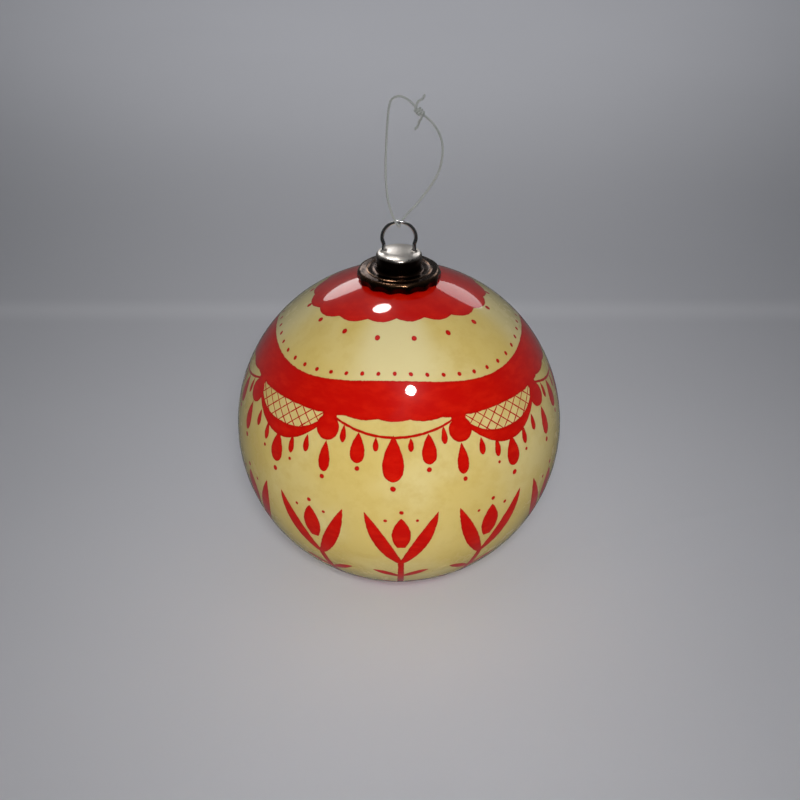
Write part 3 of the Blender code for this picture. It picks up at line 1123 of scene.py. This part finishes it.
def makeWire():
    s = wireSet
    half = hangerHalf()
    points = [(-x, 0, z) for x, z in half[::-1]] + [(x, 0, z) for x, z in half[1:]]
    rod = strand(smoothRoute(points, s["step"]), s["diameter"] / 2, s["sides"])
    wire = addPiece("sprung_wire", [rod], [wireMaterial()], ballMiddle)
    setIn(wire, "bright_wire", "wire_hanger")
    print("wire bent:", len(wire.data.polygons), "faces")


makeWire()


# Floor, room and lights

stageSet = {
    "halfWidth": 1.5,
    "front": -1.3,
    "back": 1.5,
    "fold": 0.147,  # a pale strip across the paper behind the ball, a painted highlight of a fold
    "foldWidth": 0.011,
    "cloudScale": 14,
    "paper": (0.650, 0.665, 0.725),
    "paperShade": (0.615, 0.630, 0.688),
    "paperFoldHighlight": (0.710, 0.725, 0.785),
}

roomSet = {
    "ceiling": 0.35,
    "ceilingLean": 10,  # degrees towards the front from straight up
    "ceilingFrom": 0.86,  # where the glow starts, as the cosine of an angle from its middle
    "ceilingFull": 0.96,
    "front": 0.03,
    "back": 0.12,
    "backFrom": -0.2,  # the back starts here and is full there, where 1 is straight back
    "backFull": 0.6,
    "tint": (0.95, 0.98, 1.0),
}

# Only gloss shows these. Name: place from the ball's middle, width, height, watts and colour
areaLights = {
    "ceiling lamp": ((-0.135, 0.364, 0.820), 0.150, 0.130, 1.3, (1.0, 0.97, 0.92)),
    "left window": ((-0.220, 0.690, 0.400), 0.380, 0.240, 0.85, (1.0, 0.98, 0.96)),
    "right window": ((0.310, 0.640, 0.410), 0.320, 0.240, 0.48, (1.0, 0.98, 0.96)),
    "front lamp": ((0.137, -0.645, 0.757), 0.120, 0.120, 3.0, (1.0, 0.97, 0.93)),
}
# Gloss doesn't show these. Name: place, where it aims, radius, watts, colour and the cone's degrees
spotLights = {
    "front light": ((0.02, -0.858, 0.500), (0, 0, -0.055), 0.150, 54.5, (1.0, 0.97, 0.94), 20.5),
    "low light": ((-0.050, -0.850, 0.190), (0, 0, -0.008), 0.150, 9.0, (1.0, 0.97, 0.94), 8.5),
    "back light": ((0.00, 0.520, 1.500), (0, 0.52, -0.040), 0.100, 35.0, (1.0, 0.98, 0.96), 26),
}


def paperMaterial():
    s = stageSet
    material, tree, shader, place = newMaterial("matt paper", Roughness=1.0, Specular_IOR_Level=0.0)
    m = mathsIn(tree)
    x, y, z = split(tree, place)
    # the pale strip at the fold is a painted highlight on the flat paper
    away = m("ABSOLUTE", m("SUBTRACT", y, s["fold"]))
    fold = ramped(tree, away, 0.0, s["foldWidth"], "SMOOTHSTEP", (1.0, 0.0))
    paper = mixed(tree, noisy(tree, place, s["cloudScale"], 4.0), s["paper"], s["paperShade"])
    feed(tree, shader.inputs["Base Color"], mixed(tree, fold, paper, s["paperFoldHighlight"]))
    return material


def makeStage():
    s = stageSet
    floor = ballMiddle.z - ballSet["radius"]
    verts = [(x, y, floor) for y in (s["front"], s["back"]) for x in (-s["halfWidth"], s["halfWidth"])]
    stage = addPiece("paper_floor", [(verts, [(0, 1, 3, 2)])], [paperMaterial()])
    stage.visible_glossy = False  # the lacquer mirrors the room, not the paper


def makeRoom():  # dark in front, dim behind, with a soft bright ceiling overhead
    s = roomSet
    world = bpy.data.worlds.new("soft room")
    bpy.context.scene.world = world
    world.use_nodes = True
    tree = world.node_tree
    m = mathsIn(tree)
    x, y, z = split(tree, tree.nodes.new("ShaderNodeTexCoord").outputs["Generated"])
    lean = math.radians(s["ceilingLean"])
    height = m("SUBTRACT", m("MULTIPLY", z, math.cos(lean)), m("MULTIPLY", y, math.sin(lean)))
    glow = ramped(tree, height, s["ceilingFrom"], s["ceilingFull"], "SMOOTHSTEP", (0.0, s["ceiling"]))
    walls = ramped(tree, y, s["backFrom"], s["backFull"], "SMOOTHSTEP", (s["front"], s["back"]))
    background = tree.nodes["Background"]
    background.inputs["Color"].default_value = (*s["tint"], 1)
    feed(tree, background.inputs["Strength"], m("ADD", glow, walls))


def placeLight(name, kind, place, watts, colour, target=(0, 0, 0)):
    data = bpy.data.lights.new(name, kind)
    data.energy = watts
    data.color = colour
    light = bpy.data.objects.new(name, data)
    light.location = ballMiddle + Vector(place)
    light.rotation_euler = aimed(light.location, ballMiddle + Vector(target))
    light.visible_camera = False
    bpy.context.collection.objects.link(light)
    return light


def makeLights():
    for name, (place, width, height, watts, colour) in areaLights.items():
        light = placeLight(name, "AREA", place, watts, colour)
        light.data.shape = "ELLIPSE"
        light.data.size, light.data.size_y = width, height
        light.visible_diffuse = False
    for name, (place, target, radius, watts, colour, cone) in spotLights.items():
        light = placeLight(name, "SPOT", place, watts, colour, target)
        light.data.shadow_soft_size = radius
        light.data.spot_size = math.radians(cone)
        light.data.spot_blend = 1.0
        light.visible_glossy = False


makeStage()
makeRoom()
makeLights()
bpy.context.scene.view_settings.view_transform = "Standard"
print("stage lit")
